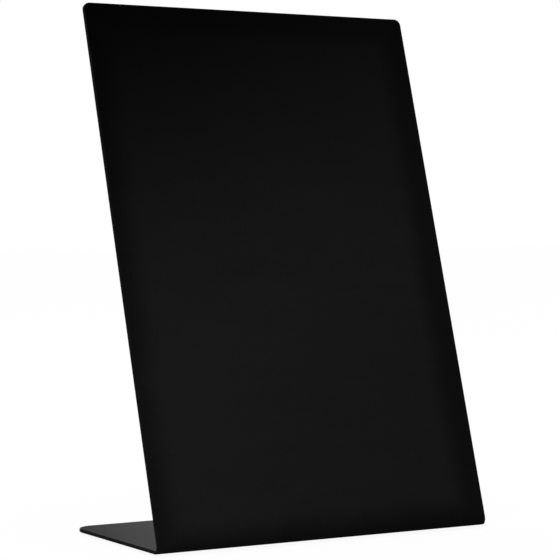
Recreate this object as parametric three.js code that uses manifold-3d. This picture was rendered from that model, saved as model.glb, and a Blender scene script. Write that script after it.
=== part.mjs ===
// Tabletop chalkboard: one steel sheet, folded once, so that the board leans back over its own base.
// Millimetres, +Z up. The board faces -Y and the base runs back along +Y, behind it.
// The origin is on the table, under the middle of the board's whole footprint.
import * as THREE from 'three';
import { mergeVertices } from 'three/addons/utils/BufferGeometryUtils.js';
import Module from 'manifold-3d';

const wasm = await Module();
wasm.setup();

// The folded sheet. Lengths run to the sharp corner that the two outer faces would meet in.
const boardWidth = 150;
const faceHeight = 220;
const baseDepth = 75;
const leanDegrees = 17;
const steelGauge = 1.2;
const coatThickness = 0.1;
const foldInsideRadius = 1.5;
const boardCornerRadius = 3;
const baseCornerRadius = 8;

// The chalk film on the front of the board. It stops round the fold, that far short of straight down.
const filmThickness = 0.3;
const bondLine = 0.3;
const filmEdgeInset = 0.3;
const filmStopDegrees = 45;

// The rubber feet under the base.
const footDiameter = 8;
const footThickness = 1;
const footRimRadius = 0.4;
const footInset = 15;

// How finely round stretches are faceted.
const foldSegments = 10;
const cornerSegments = 12;
const footSegments = 32;
const footRimSegments = 4;

// How far a cutting tool reaches past the faces that it cuts.
const cutterOverrun = 1;

const lean = THREE.MathUtils.degToRad(leanDegrees);
const sheetThickness = steelGauge + 2 * coatThickness;
const foldOutsideRadius = foldInsideRadius + sheetThickness;
const foldAngle = Math.PI / 2 + lean;
const foldSetback = foldOutsideRadius * Math.tan(foldAngle / 2);
const undersideHeight = footThickness;

// Directions out of the fold's centre in the side view: square to the face, and straight down.
const faceAngle = Math.PI - lean;
const undersideAngle = 1.5 * Math.PI;
const filmStopAngle = undersideAngle - THREE.MathUtils.degToRad(filmStopDegrees);

// Directions of the leaning board, as seen from the sharp outer corner of the fold.
const acrossBoard = new THREE.Vector3(1, 0, 0);
const upBoard = new THREE.Vector3(0, Math.sin(lean), Math.cos(lean));
const outOfBoard = new THREE.Vector3(0, -Math.cos(lean), Math.sin(lean));
const sharpCorner = new THREE.Vector3(0, 0, undersideHeight);

// A matrix that lays a drawing on the board: x across, y up the slope, z out of the front face.
function onBoard(heightOffFace) {
  const origin = sharpCorner.clone().addScaledVector(outOfBoard, heightOffFace);
  return new THREE.Matrix4().makeBasis(acrossBoard, upBoard, outOfBoard).setPosition(origin);
}

// A matrix that lays a drawing on the base: x across, y to the rear, z up from the underside.
function onBase(heightOffUnderside) {
  return new THREE.Matrix4().makeTranslation(0, 0, undersideHeight + heightOffUnderside);
}

// A closed solid for joining and cutting, from a three.js geometry.
function solidFrom(geometry) {
  const bare = geometry.clone();
  bare.deleteAttribute('normal');
  bare.deleteAttribute('uv');
  const merged = mergeVertices(bare, 1e-4);
  const vertProperties = new Float32Array(merged.attributes.position.array);
  const triVerts = new Uint32Array(merged.index.array);
  return new wasm.Manifold(new wasm.Mesh({ numProp: 3, vertProperties, triVerts }));
}

// A flat-shaded three.js geometry, from a closed solid.
function geometryFrom(solid) {
  const mesh = solid.getMesh();
  const geometry = new THREE.BufferGeometry();
  geometry.setAttribute('position', new THREE.BufferAttribute(mesh.vertProperties, 3));
  geometry.setIndex(new THREE.BufferAttribute(mesh.triVerts, 1));
  const flat = geometry.toNonIndexed();
  flat.computeVertexNormals();
  return flat;
}

// A point of the side view, with x to the rear and y up: how far up the board and how far out of it.
function sidePoint(upSlope, outOfFace) {
  const x = upSlope * Math.sin(lean) - outOfFace * Math.cos(lean);
  const y = upSlope * Math.cos(lean) + outOfFace * Math.sin(lean);
  return new THREE.Vector2(x, y);
}

// The part of a side view that bends round the fold, that far out of the sheet's outer faces.
function bendRound(section, outOfFace, fromAngle, toAngle) {
  const radius = foldOutsideRadius + outOfFace;
  const clockwise = toAngle < fromAngle;
  section.absarc(foldSetback, foldOutsideRadius, radius, fromAngle, toAngle, clockwise);
}

// The sheet's side view: two straight legs and the fold's two arcs.
function sheetSection() {
  const topFront = sidePoint(faceHeight, 0);
  const topRear = sidePoint(faceHeight, -sheetThickness);
  const section = new THREE.Shape();
  section.moveTo(baseDepth, 0);
  section.lineTo(baseDepth, sheetThickness);
  bendRound(section, -sheetThickness, undersideAngle, faceAngle);
  section.lineTo(topRear.x, topRear.y);
  section.lineTo(topFront.x, topFront.y);
  bendRound(section, 0, faceAngle, undersideAngle);
  section.closePath();
  return section;
}

// The film's side view: down the board's front and part of the way round the fold.
function filmSection() {
  const back = bondLine;
  const front = bondLine + filmThickness;
  const top = faceHeight - filmEdgeInset;
  const topBack = sidePoint(top, back);
  const topFront = sidePoint(top, front);
  const section = new THREE.Shape();
  section.moveTo(topFront.x, topFront.y);
  bendRound(section, front, faceAngle, filmStopAngle);
  bendRound(section, back, filmStopAngle, faceAngle);
  section.lineTo(topBack.x, topBack.y);
  section.closePath();
  return section;
}

// A solid that has one side view right across the board, to a width that is centred on it.
function drawnAcross(section, width) {
  const settings = { depth: width, bevelEnabled: false, curveSegments: foldSegments };
  const bar = new THREE.ExtrudeGeometry(section, settings);
  const rear = new THREE.Vector3(0, 1, 0);
  const up = new THREE.Vector3(0, 0, 1);
  bar.translate(0, 0, -width / 2);
  bar.applyMatrix4(new THREE.Matrix4().makeBasis(rear, up, acrossBoard));
  bar.applyMatrix4(onBase(0));
  return solidFrom(bar);
}

// The waste outside a rounded corner whose sharp point is at (x, y), with side = 1 on the right.
function cornerWaste(x, y, radius, side) {
  const centreX = x - side * radius;
  const centreY = y - radius;
  const outerX = x + side * cutterOverrun;
  const outerY = y + cutterOverrun;
  const waste = new THREE.Shape();
  waste.moveTo(centreX, y);
  waste.absarc(centreX, centreY, radius, Math.PI / 2, side > 0 ? 0 : Math.PI, side > 0);
  waste.lineTo(outerX, centreY);
  waste.lineTo(outerX, outerY);
  waste.lineTo(centreX, outerY);
  waste.closePath();
  return waste;
}

// The bar that rounds one corner. It is long enough to pass right through the sheet.
function cornerCutter(x, y, radius, side, placeAt) {
  const length = sheetThickness + 2 * cutterOverrun;
  const settings = { depth: length, bevelEnabled: false, curveSegments: cornerSegments };
  const bar = new THREE.ExtrudeGeometry(cornerWaste(x, y, radius, side), settings);
  bar.applyMatrix4(placeAt);
  return solidFrom(bar);
}

// The steel sheet: its side view drawn across the full width, then four corners rounded.
function makeSupportSheet() {
  const throughBoard = onBoard(-sheetThickness - cutterOverrun);
  const throughBase = onBase(-cutterOverrun);
  let sheet = drawnAcross(sheetSection(), boardWidth);
  for (const side of [-1, 1]) {
    const edge = side * boardWidth / 2;
    sheet = sheet.subtract(cornerCutter(edge, faceHeight, boardCornerRadius, side, throughBoard));
    sheet = sheet.subtract(cornerCutter(edge, baseDepth, baseCornerRadius, side, throughBase));
  }
  return geometryFrom(sheet);
}

// The matt chalk film, bonded to the board's front. Its top corners follow the sheet's.
function makeChalkFilm() {
  const width = boardWidth - 2 * filmEdgeInset;
  const top = faceHeight - filmEdgeInset;
  const radius = boardCornerRadius - filmEdgeInset;
  const throughFilm = onBoard(bondLine - cutterOverrun);
  let film = drawnAcross(filmSection(), width);
  for (const side of [-1, 1]) {
    film = film.subtract(cornerCutter(side * width / 2, top, radius, side, throughFilm));
  }
  return geometryFrom(film);
}

// A rubber foot: a flat disc with a rounded rim at the table and a square one against the steel.
function makeFoot() {
  const radius = footDiameter / 2;
  const rim = Math.min(footRimRadius, footThickness / 2);
  const profile = [new THREE.Vector2(0, 0)];
  for (let step = 0; step <= footRimSegments; step += 1) {
    const angle = (step / footRimSegments) * Math.PI / 2;
    const x = radius - rim + rim * Math.sin(angle);
    const y = rim - rim * Math.cos(angle);
    profile.push(new THREE.Vector2(x, y));
  }
  profile.push(new THREE.Vector2(radius, footThickness));
  profile.push(new THREE.Vector2(0, footThickness));
  const disc = new THREE.LatheGeometry(profile, footSegments);
  disc.rotateX(Math.PI / 2);
  return geometryFrom(solidFrom(disc));
}

function blackPowderCoat() {
  return new THREE.MeshStandardMaterial({ color: 0x1b1b1c, roughness: 0.42, metalness: 0 });
}

function mattChalkSurface() {
  return new THREE.MeshStandardMaterial({ color: 0x161616, roughness: 0.92, metalness: 0 });
}

function blackRubber() {
  return new THREE.MeshStandardMaterial({ color: 0x202020, roughness: 0.8, metalness: 0 });
}

function addPart(parent, name, geometry, material) {
  const part = new THREE.Mesh(geometry, material);
  part.name = name;
  parent.add(part);
  return part;
}

// The four feet, each the same distance in from the edges of the base.
function addFeet(parent) {
  const sideways = boardWidth / 2 - footInset;
  const rows = { front: footInset, rear: baseDepth - footInset };
  const sides = { left: -sideways, right: sideways };
  for (const [row, y] of Object.entries(rows)) {
    for (const [side, x] of Object.entries(sides)) {
      const foot = addPart(parent, `foot_${row}_${side}`, makeFoot(), blackRubber());
      foot.position.set(x, y, 0);
    }
  }
}

const chalkboard = new THREE.Group();
addPart(chalkboard, 'support_sheet', makeSupportSheet(), blackPowderCoat());
addPart(chalkboard, 'chalk_film', makeChalkFilm(), mattChalkSurface());
addFeet(chalkboard);

// The footprint's middle goes to the origin, whatever the sizes are.
const extent = new THREE.Box3().setFromObject(chalkboard);
chalkboard.position.y = -(extent.min.y + extent.max.y) / 2;

export default chalkboard;
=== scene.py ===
import math

import bmesh
import bpy
from mathutils import Matrix, Vector


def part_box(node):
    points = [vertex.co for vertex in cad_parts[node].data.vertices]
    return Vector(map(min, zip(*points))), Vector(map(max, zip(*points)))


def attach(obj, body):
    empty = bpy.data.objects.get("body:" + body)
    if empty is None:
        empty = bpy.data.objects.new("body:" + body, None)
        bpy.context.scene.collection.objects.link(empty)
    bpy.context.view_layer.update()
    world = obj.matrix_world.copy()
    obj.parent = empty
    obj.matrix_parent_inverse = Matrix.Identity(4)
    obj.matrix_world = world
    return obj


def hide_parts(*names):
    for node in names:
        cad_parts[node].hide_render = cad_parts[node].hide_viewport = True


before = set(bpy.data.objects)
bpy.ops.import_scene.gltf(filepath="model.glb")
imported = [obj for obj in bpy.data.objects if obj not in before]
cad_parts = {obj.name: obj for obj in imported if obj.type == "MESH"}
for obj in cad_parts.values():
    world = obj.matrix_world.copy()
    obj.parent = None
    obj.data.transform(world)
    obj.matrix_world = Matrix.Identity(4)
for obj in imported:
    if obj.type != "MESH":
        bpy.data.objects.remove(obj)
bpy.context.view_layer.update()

# The fold's sharp outer corner, which the board and the base are both measured from.
mm = 0.001
base_depth = 75 * mm
sheet_low, sheet_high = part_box("support_sheet")
fold_corner = Vector((0, sheet_high.y - base_depth, sheet_low.z))

# The camera stands in front and to the left, a little above the table, and looks nearly level.
# Its focal length is in pixels of a picture that is that many pixels wide.
picture_width = 560
focal_length = 2126.0
view_yaw = math.radians(30.742)
view_fall = math.radians(1.790)
camera_stand = fold_corner + Vector((-437.9, -697.9, 127.05)) * mm
camera = bpy.data.objects.new("camera", bpy.data.cameras.new("camera"))
camera.data.sensor_width = 36
camera.data.lens = focal_length / picture_width * camera.data.sensor_width
camera_aim = Matrix.Rotation(-view_yaw, 4, "Z") @ Matrix.Rotation(math.pi / 2 - view_fall, 4, "X")
camera.matrix_world = Matrix.Translation(camera_stand) @ camera_aim
bpy.context.scene.collection.objects.link(camera)
bpy.context.scene.camera = camera


# Support sheet. One blank of 1.2 mm steel, laser cut with rounded corners and deburred, folded once on a
# press brake so that the board leans back over its base, then coated all over in a fine-textured black
# powder, which softens the arrises.
steel_gauge = 1.2 * mm
coat_thickness = 0.1 * mm
fold_inside_radius = 1.5 * mm
board_corner_radius = 3 * mm
base_corner_radius = 8 * mm
sheet_arris_radius = 0.3 * mm
board_lean = math.radians(17)
face_height = 220 * mm
sheet_thickness = steel_gauge + 2 * coat_thickness
sheet_width = sheet_high.x - sheet_low.x
fold_turn = math.pi / 2 + board_lean
fold_outside_radius = fold_inside_radius + sheet_thickness
fold_mid_radius = fold_inside_radius + sheet_thickness / 2
fold_setback = fold_outside_radius * math.tan(fold_turn / 2)
fold_length = fold_mid_radius * fold_turn
base_flat = base_depth - fold_setback
board_flat = face_height - fold_setback
up_board = Vector((0, math.sin(board_lean), math.cos(board_lean)))


def fold_blank(across, along, rise):
    """Where a point of the flat blank ends up: along runs from the base's rear edge to the board's top."""
    if along <= base_flat:
        flat = fold_corner + Vector((across, base_depth - along, sheet_thickness / 2))
        return flat + Vector((0, 0, rise))
    turned = min((along - base_flat) / fold_mid_radius, fold_turn)
    outward = Vector((0, -math.sin(turned), -math.cos(turned)))
    centre = fold_corner + Vector((across, fold_setback, fold_outside_radius))
    beyond = max(along - base_flat - fold_length, 0)
    return centre + outward * (fold_mid_radius - rise) + up_board * beyond


corner_steps = 16
arris_steps = 5


def corner_stations(half_width, radius, inset, middle, way):
    """A quarter turn of stations about a corner's centre, from its end edge to its side edge."""
    stations = []
    for step in range(corner_steps + 1):
        angle = math.pi / 2 * step / corner_steps
        reach = radius - inset
        across = half_width - radius + reach * math.sin(angle)
        stations.append((across, middle + way * reach * math.cos(angle)))
    return stations


def plate_stations(half_width, ends, radii, rungs, inset):
    """Half widths along a plate with rounded corners, from its low end to its high end, less an inset."""
    low_middle = ends[0] + radii[0]
    high_middle = ends[1] - radii[1]
    stations = corner_stations(half_width, radii[0], inset, low_middle, -1)
    stations += [(half_width - inset, rung) for rung in rungs if low_middle < rung < high_middle]
    stations += reversed(corner_stations(half_width, radii[1], inset, high_middle, 1))
    return stations


def rounded_plate(name, place, half_width, ends, radii, rungs, thickness, arris_radius):
    """A plate with rounded corners and eased arrises, laid out flat and put where place says."""
    flat_half = thickness / 2 - arris_radius
    upper = []
    for step in range(arris_steps + 1):
        angle = math.pi / 2 * step / arris_steps
        upper.append((arris_radius * (1 - math.sin(angle)), flat_half + arris_radius * math.cos(angle)))
    levels = upper + [(inset, -rise) for inset, rise in reversed(upper)]
    shape = bmesh.new()
    rings = []
    for inset, rise in levels:
        stations = plate_stations(half_width, ends, radii, rungs, inset)
        right = [shape.verts.new(place(x, along, rise)) for x, along in stations]
        left = [shape.verts.new(place(-x, along, rise)) for x, along in stations]
        rings.append((right, left))
    for (right, left), (next_right, next_left) in zip(rings, rings[1:]):
        loop, next_loop = right + left[::-1], next_right + next_left[::-1]
        for k in range(len(loop)):
            after = (k + 1) % len(loop)
            shape.faces.new((loop[k], loop[after], next_loop[after], next_loop[k]))
    for right, left in (rings[0], rings[-1]):
        for k in range(len(right) - 1):
            shape.faces.new((right[k], right[k + 1], left[k + 1], left[k]))
    bmesh.ops.recalc_face_normals(shape, faces=shape.faces)
    return finish_mesh(name, shape)


largest_faces_only = 100


def finish_mesh(name, shape):
    """A smooth-shaded object from a bmesh, with its large flats kept flat."""
    mesh = bpy.data.meshes.new(name)
    shape.to_mesh(mesh)
    shape.free()
    for face in mesh.polygons:
        face.use_smooth = True
    piece = bpy.data.objects.new(name, mesh)
    bpy.context.scene.collection.objects.link(piece)
    weighted = piece.modifiers.new("flat_faces", "WEIGHTED_NORMAL")
    weighted.weight = largest_faces_only
    return piece


class Wire:
    """One output of a finish's nodes. Arithmetic on it adds Math nodes."""

    def __init__(self, finish, socket):
        self.finish = finish
        self.socket = socket

    def math(self, operation, *values):
        sockets = dict(enumerate(values))
        return self.finish.node("ShaderNodeMath", {"operation": operation}, sockets)

    def __add__(self, other):
        return self.math("ADD", self, other)

    def __sub__(self, other):
        return self.math("SUBTRACT", self, other)

    def __rsub__(self, other):
        return self.math("SUBTRACT", other, self)

    def __mul__(self, other):
        return self.math("MULTIPLY", self, other)

    def __abs__(self):
        return self.math("ABSOLUTE", self)

    __radd__ = __add__
    __rmul__ = __mul__

    def least(self, other):
        return self.math("MINIMUM", self, other)

    def rise(self, low, high):
        """0 below low, 1 above high, and a smooth rise between them."""
        sockets = {"Value": self, "From Min": low, "From Max": high}
        return self.finish.node("ShaderNodeMapRange", {"interpolation_type": "SMOOTHSTEP"}, sockets)


class Finish:
    """A material and the nodes that it is made of."""

    def __init__(self, name, holder=None):
        self.holder = holder or bpy.data.materials.new(name)
        self.holder.use_nodes = True
        self.tree = self.holder.node_tree
        self.tree.nodes.clear()

    def node(self, kind, settings=None, sockets=None, output=0):
        """Adds a node: its settings first, then the values or links of its sockets."""
        made = self.tree.nodes.new(kind)
        for key, value in (settings or {}).items():
            setattr(made, key, value)
        for key, value in (sockets or {}).items():
            if isinstance(value, Wire):
                self.tree.links.new(value.socket, made.inputs[key])
            else:
                made.inputs[key].default_value = value
        return Wire(self, made.outputs[output]) if made.outputs else None

    def vector(self, operation, first, second, output=0):
        return self.node("ShaderNodeVectorMath", {"operation": operation}, {0: first, 1: second}, output)

    def place(self):
        return self.node("ShaderNodeTexCoord", output="Object")

    def along(self, direction, start=(0, 0, 0)):
        """Metres from start along a direction."""
        away = self.vector("SUBTRACT", self.place(), start)
        return self.vector("DOT_PRODUCT", away, direction, "Value")

    def facing(self, direction):
        """1 where the surface faces along a direction, and -1 where it faces away from it."""
        outward = self.node("ShaderNodeTexCoord", output="Normal")
        return self.vector("DOT_PRODUCT", outward, direction, "Value")

    def grain(self, size, detail, stretch=(1, 1, 1)):
        """Noise whose blobs are about size metres across, drawn out along an axis by stretch."""
        scale = [1 / (size * s) for s in stretch]
        spread = self.vector("MULTIPLY", self.place(), scale)
        return self.node("ShaderNodeTexNoise", sockets={"Vector": spread, "Scale": 1.0, "Detail": detail})

    def mix(self, factor, first, second):
        """A colour between two colours."""
        sockets = {0: factor, 6: first, 7: second}
        return self.node("ShaderNodeMix", {"data_type": "RGBA"}, sockets, 2)

    def bump(self, height, depth, under=None):
        """A normal from a height field from 0 to 1, that deep in metres."""
        sockets = {"Height": height, "Distance": depth, "Strength": 1.0}
        if under:
            sockets["Normal"] = under
        return self.node("ShaderNodeBump", sockets=sockets)

    def surface(self, sockets):
        """The finish's Principled surface, joined to the output."""
        shader = self.node("ShaderNodeBsdfPrincipled", sockets=sockets)
        self.node("ShaderNodeOutputMaterial", sockets={"Surface": shader})
        return self.holder


def grey(level):
    """A neutral colour of one linear level."""
    return (level, level, level, 1)


# The coat: fine sand over a slight flow, in a black that varies a little from place to place. The
# photograph shows next to no gloss on it.
sand_size = 0.30 * mm
sand_depth = 0.045 * mm
flow_size = 2 * mm
flow_depth = 0.015 * mm
cloud_size = 26 * mm
coat_black = grey(0.0050)
coat_cloudy = grey(0.0062)
coat_grain = grey(0.0105)
coat_shine = 0.006

# A painted sheen lies on the flat top of the base, mottled and speckled like dust, and none on the arrises.
# It brightens inwards from the sides, and less quickly forwards from the rear edge.
sheen_speck_size = 1.2 * mm
sheen_rear_share = 0.45
sheen_span = (-12 * mm, 46 * mm)
painted_sheen_tone = grey(0.060)

# A painted highlight lightens the base's two rear corners, most on the arrises and in patches. The span is
# of how far a point lies past the round's centre, sideways and to the rear added up: 8 mm at its ends, 11.3
# midway.
highlight_width = 1.6 * mm
highlight_span = (7.9 * mm, 11.0 * mm)
painted_highlight_tone = grey(0.26)


def powder_coat():
    """Black powder coat with a sandy texture, a painted sheen on its top and a painted highlight at two
    corners.
    """
    coat = Finish("powder_coat")
    sand = coat.grain(sand_size, detail=3)
    flow = coat.grain(flow_size, detail=2)
    cloud = coat.grain(cloud_size, detail=3)
    tone = coat.mix(cloud.rise(0.35, 0.65), coat_black, coat_cloudy)
    tone = coat.mix(sand.rise(0.52, 0.80), tone, coat_grain)

    inward = sheet_width / 2 - abs(coat.along((1, 0, 0)))
    forward = coat.along((0, -1, 0), fold_corner + Vector((0, base_depth, 0)))
    lift = coat.facing((0, 0, 1))
    level = lift.rise(0.97, 0.998)
    # Painted sheen: the flat top of the base is lightened, mottled and speckled like dust.
    painted_sheen_mask = level * (inward + sheen_rear_share * forward).rise(*sheen_span)
    mottle = painted_sheen_mask * (0.35 + 0.5 * coat.grain(sheen_speck_size, detail=4) + 0.8 * sand)
    tone = coat.mix(mottle, tone, painted_sheen_tone)

    # Painted highlight: paler patches at the two rear corners, most on the arrises.
    beyond_x = base_corner_radius - inward
    beyond_y = base_corner_radius - forward
    reach = beyond_x * beyond_x + beyond_y * beyond_y
    near_rim = reach.rise((base_corner_radius - highlight_width) ** 2, base_corner_radius ** 2)
    on_arris = abs(lift).rise(0.05, 0.35) * (1 - 0.6 * abs(lift).rise(0.97, 1.0))
    highlight_mask = near_rim * (beyond_x + beyond_y).rise(*highlight_span)
    painted_highlight = highlight_mask * (0.25 + 0.75 * on_arris) * (flow + 0.6 * sand).rise(0.42, 1.0)
    tone = coat.mix(painted_highlight, tone, painted_highlight_tone)

    rough = 0.43 + 0.04 * cloud + 0.06 * (flow - 0.5)
    texture = coat.bump(sand, sand_depth, coat.bump(flow, flow_depth))
    return coat.surface({
        "Base Color": tone, "Roughness": rough, "Normal": texture, "Specular IOR Level": coat_shine,
    })


base_steps = 8
fold_steps = 28
board_steps = 24
board_start = base_flat + fold_length
blank_length = board_start + board_flat
base_rungs = [base_flat * step / base_steps for step in range(1, base_steps)]
fold_rungs = [base_flat + fold_length * step / fold_steps for step in range(fold_steps + 1)]
board_rungs = [board_start + board_flat * step / board_steps for step in range(1, board_steps)]
sheet = rounded_plate(
    "folded_sheet", fold_blank, sheet_width / 2, (0, blank_length),
    (base_corner_radius, board_corner_radius), base_rungs + fold_rungs + board_rungs,
    sheet_thickness, sheet_arris_radius,
)
sheet.data.materials.append(powder_coat())
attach(sheet, "root")
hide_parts("support_sheet")


# Chalk film. A thin matt black film with a fine tooth that takes chalk, cut to the board's outline and
# bonded to its front. It goes part of the way round the fold, so that no bare steel shows below it.
# Wiping leaves a faint haze of chalk in its tooth. Painted shade darkens the face towards its borders, its
# top and the fold, and a painted reflection lightens it low down on the left.
film_thickness = 0.3 * mm
bond_line = 0.3 * mm
film_inset = 0.3 * mm
film_stop_turn = math.radians(45)
film_arris_radius = 0.1 * mm
film_lower_radius = 0.4 * mm


def over_front(height):
    """A placing rule for a layer whose middle lies that far out of the sheet's outer faces."""
    def place(across, along, rise):
        return fold_blank(across, along, rise - sheet_thickness / 2 - height)
    return place


film_low = base_flat + fold_mid_radius * film_stop_turn
film_high = blank_length - film_inset
film_half = sheet_width / 2 - film_inset
film_upper_radius = board_corner_radius - film_inset


# The film's tooth, and the marks that wiping with a cloth leaves along the board.
tooth_size = 0.18 * mm
tooth_depth = 0.050 * mm
wipe_size = 4 * mm
wipe_depth = 0.006 * mm
wipe_stretch = (7, 1, 1.6)
smear_size = 40 * mm
smear_stretch = (1.6, 1, 1)

# The haze of chalk, with painted light and shade laid over it. Painted shade darkens a border along each
# edge, whose line wanders a little, and a painted reflection makes the face lightest low down on the left.
# A span runs from where the haze starts to where it is full.
shade_border_centre = -2.5 * mm
shade_border_half_width = 72.5 * mm
side_border = 13 * mm
top_border = (8 * mm, 14 * mm)
fold_border = (1 * mm, 14 * mm)
height_span = (-50 * mm, 140 * mm)
sweep_span = (-110 * mm, 110 * mm)
wander_size = 22 * mm
wander_reach = 4 * mm
film_black = grey(0.0007)
haze_and_painted_light_tone = grey(0.0108)
speck_tone = grey(0.020)
film_shine = 0.012


def chalk_surface():
    """Dead matt black, with a fine tooth, faint wiping marks and a chalk haze, under painted shade at the
    borders and a painted reflection low down.
    """
    face = Finish("chalk_surface")
    up = face.along(up_board, fold_corner)
    across = face.along((1, 0, 0))
    wander = (face.grain(wander_size, detail=3) - 0.5) * wander_reach
    # Painted shade: the face darkens towards its sides, its top and along the fold.
    edge = (shade_border_half_width - abs(across - shade_border_centre) + wander).rise(0, side_border)
    top = (face_height - up + 0.5 * wander).rise(*top_border)
    fold = (up - 0.03 * across + wander).rise(*fold_border)
    border = (0.49 + 0.51 * edge).least(0.60 + 0.40 * top).least(0.42 + 0.58 * fold)
    # Painted reflection: the face lightens low down and to the left, and darkens towards the right.
    height = (face_height - up + 0.43 * across + wander).rise(*height_span)
    sweep = 1 - 0.33 * across.rise(*sweep_span)

    wiped = face.grain(wipe_size, detail=4, stretch=wipe_stretch)
    smear = face.grain(smear_size, detail=3, stretch=smear_stretch)
    tooth = face.grain(tooth_size, detail=2)
    marks = (0.74 + 0.26 * wiped + 0.16 * smear) * (2.4 * tooth - 0.2)
    # The haze of chalk with the painted shade and reflection laid over it.
    haze_and_painted_light = border * height * sweep * marks
    tone = face.mix(haze_and_painted_light, film_black, haze_and_painted_light_tone)
    # Chalk specks in the tooth, spread by the same mask, so they follow the painted light and shade too.
    tone = face.mix(haze_and_painted_light * tooth.rise(0.60, 0.85), tone, speck_tone)
    relief = face.bump(tooth, tooth_depth, face.bump(wiped, wipe_depth))
    return face.surface({
        "Base Color": tone, "Roughness": 0.88 + 0.08 * wiped, "Normal": relief,
        "Specular IOR Level": film_shine,
    })


film_bend_steps = 20
film_bend = board_start - film_low
film_rungs = [film_low + film_bend * step / film_bend_steps for step in range(film_bend_steps + 1)]
film_rungs += board_rungs
film = rounded_plate(
    "chalk_face", over_front(bond_line + film_thickness / 2), film_half, (film_low, film_high),
    (film_lower_radius, film_upper_radius), film_rungs, film_thickness, film_arris_radius,
)
film.data.materials.append(chalk_surface())
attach(film, "root")
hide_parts("chalk_film")


# Adhesive. The dark layer that holds the chalk film to the steel. It fills the bond line and stops a little
# short of the film's edge, so that only a hairline of it shows.
glue_clearance = 0.01 * mm
glue_set_back = 0.03 * mm
glue_thickness = bond_line - 2 * glue_clearance
glue_arris_radius = glue_thickness / 3
ripple_size = 3 * mm
ripple_depth = 0.02 * mm
glue_shine = 0.1


def adhesive():
    """Nearly black acrylic adhesive with a slight, uneven shine."""
    glue = Finish("bond_adhesive")
    ripple = glue.grain(ripple_size, detail=3)
    tone = glue.mix(ripple, grey(0.003), grey(0.006))
    return glue.surface({
        "Base Color": tone, "Roughness": 0.50 + 0.25 * ripple, "Normal": glue.bump(ripple, ripple_depth),
        "Specular IOR Level": glue_shine,
    })


glue_layer = rounded_plate(
    "bond_layer", over_front(bond_line / 2), film_half - glue_set_back,
    (film_low + glue_set_back, film_high - glue_set_back),
    (film_lower_radius - glue_set_back, film_upper_radius - glue_set_back),
    film_rungs, glue_thickness, glue_arris_radius,
)
glue_layer.data.materials.append(adhesive())
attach(glue_layer, "root")


# Feet. Four moulded rubber discs with a rounded rim and a shallow dish in the sole, stuck to the underside
# of the base near its corners so that the steel neither slides nor scratches.
foot_rim_radius = 0.4 * mm
foot_top_radius = 0.12 * mm
foot_dish = 0.12 * mm
foot_arc_steps = 6
foot_turn_steps = 72
skin_size = 0.18 * mm
skin_depth = 0.02 * mm
foot_dust_size = 2 * mm

# The dish in the sole, from its floor out to its rim: shares of the foot's radius and of the dish's depth.
dish_stations = ((0.45, 1), (0.60, 1), (0.72, 0.25), (0.78, 0))
top_ring_share = 0.5


def moulded_rubber():
    """Black rubber with a fine spark-eroded skin and a trace of dust."""
    rubber = Finish("foot_rubber")
    skin = rubber.grain(skin_size, detail=3)
    mottle = rubber.grain(foot_dust_size, detail=4)
    tone = rubber.mix(mottle.rise(0.45, 0.75), grey(0.012), grey(0.022))
    return rubber.surface({
        "Base Color": tone, "Roughness": 0.72 + 0.16 * mottle, "Normal": rubber.bump(skin, skin_depth),
    })


def foot_profile(radius, height):
    """Distance from the axis and height, from the middle of the sole to the middle of the top."""
    profile = [(radius * share, foot_dish * depth) for share, depth in dish_stations]
    for step in range(foot_arc_steps + 1):
        angle = math.pi / 2 * step / foot_arc_steps
        profile.append((
            radius - foot_rim_radius + foot_rim_radius * math.sin(angle),
            foot_rim_radius - foot_rim_radius * math.cos(angle),
        ))
    for step in range(foot_arc_steps + 1):
        angle = math.pi / 2 * step / foot_arc_steps
        profile.append((
            radius - foot_top_radius + foot_top_radius * math.cos(angle),
            height - foot_top_radius + foot_top_radius * math.sin(angle),
        ))
    profile.append((radius * top_ring_share, height))
    return profile


def make_foot(node, rubber):
    """One foot, turned about the axis of its CAD disc."""
    low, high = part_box(node)
    centre = Vector(((low.x + high.x) / 2, (low.y + high.y) / 2, low.z))
    shape = bmesh.new()
    rings = []
    for distance, height in foot_profile((high.x - low.x) / 2, high.z - low.z):
        ring = []
        for step in range(foot_turn_steps):
            angle = 2 * math.pi * step / foot_turn_steps
            offset = Vector((distance * math.cos(angle), distance * math.sin(angle), height))
            ring.append(shape.verts.new(centre + offset))
        rings.append(ring)
    for ring, next_ring in zip(rings, rings[1:]):
        for step in range(foot_turn_steps):
            after = (step + 1) % foot_turn_steps
            shape.faces.new((ring[step], ring[after], next_ring[after], next_ring[step]))
    for ring in (rings[0], rings[-1]):
        shape.faces.new(ring)
    bmesh.ops.recalc_face_normals(shape, faces=shape.faces)
    foot = finish_mesh("rubber_" + node, shape)
    foot.data.materials.append(rubber)
    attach(foot, "root")
    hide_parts(node)


foot_rubber = moulded_rubber()
for foot_node in ("foot_front_left", "foot_front_right", "foot_rear_left", "foot_rear_right"):
    make_foot(foot_node, foot_rubber)


# Table and light. A plain pale table top under soft, even light. Straight views and reflections see it and
# the air beyond as white, and the table keeps a share of the board's own soft shadow.
table_reach = 6.0
shadow_share = 0.07
table_speck_size = 1.5 * mm

# A touch over 1, because the share that the shadow falls on is lit to a little under white.
table_white = 1.01


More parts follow.
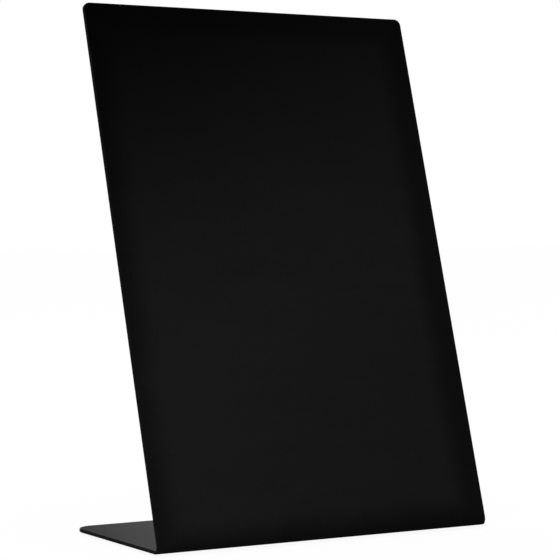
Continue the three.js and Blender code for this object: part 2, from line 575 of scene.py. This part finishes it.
def seen_directly(finish):
    """1 for camera, glossy and transmission rays, and 0 for the rest."""
    path = finish.node("ShaderNodeLightPath")
    found = path
    for name in ("Is Glossy Ray", "Is Transmission Ray"):
        found = found + Wire(finish, path.socket.node.outputs[name])
    return found.least(1.0)


def table_top():
    """White laminate: a diffuse top that the shadow falls on, lifted to white where it is looked at."""
    top = Finish("pale_table")
    speck = top.grain(table_speck_size, detail=2)
    lit = top.node("ShaderNodeBsdfDiffuse", sockets={"Color": top.mix(speck, grey(0.86), grey(0.90))})
    white = top.node("ShaderNodeEmission", sockets={"Color": grey(1), "Strength": table_white})
    share = seen_directly(top) * (1 - shadow_share)
    both = top.node("ShaderNodeMixShader", sockets={0: share, 1: lit, 2: white})
    top.node("ShaderNodeOutputMaterial", sockets={"Surface": both})
    return top.holder


table_mesh = bpy.data.meshes.new("table_top")
corners = [(x * table_reach, y * table_reach, 0) for x, y in ((-1, -1), (1, -1), (1, 1), (-1, 1))]
table_mesh.from_pydata(corners, [], [(0, 1, 2, 3)])
table = bpy.data.objects.new("table_top", table_mesh)
table.data.materials.append(table_top())
bpy.context.scene.collection.objects.link(table)

air = Finish("air", bpy.data.worlds.new("air"))
bpy.context.scene.world = air.holder
air_level = 0.86
air_light = seen_directly(air) * (1 - air_level) + air_level
air_glow = air.node("ShaderNodeBackground", sockets={"Color": grey(1), "Strength": air_light})
air.node("ShaderNodeOutputWorld", sockets={"Surface": air_glow})


board_middle = Vector((0, 0, 0.09))


def soft_lamp(name, place, size, watts):
    """A square soft light that faces the board."""
    lamp = bpy.data.objects.new(name, bpy.data.lights.new(name, "AREA"))
    lamp.data.size = size
    lamp.data.energy = watts
    lamp.location = place
    towards = board_middle - Vector(place)
    lamp.rotation_euler = towards.to_track_quat("-Z", "Y").to_euler()
    bpy.context.scene.collection.objects.link(lamp)


soft_lamp("overhead_light", place=(-0.5, 0.3, 1.6), size=1.2, watts=5)
soft_lamp("front_light", place=(-0.9, -1.5, 1.2), size=1.0, watts=2)

bpy.context.scene.view_settings.view_transform = "Standard"
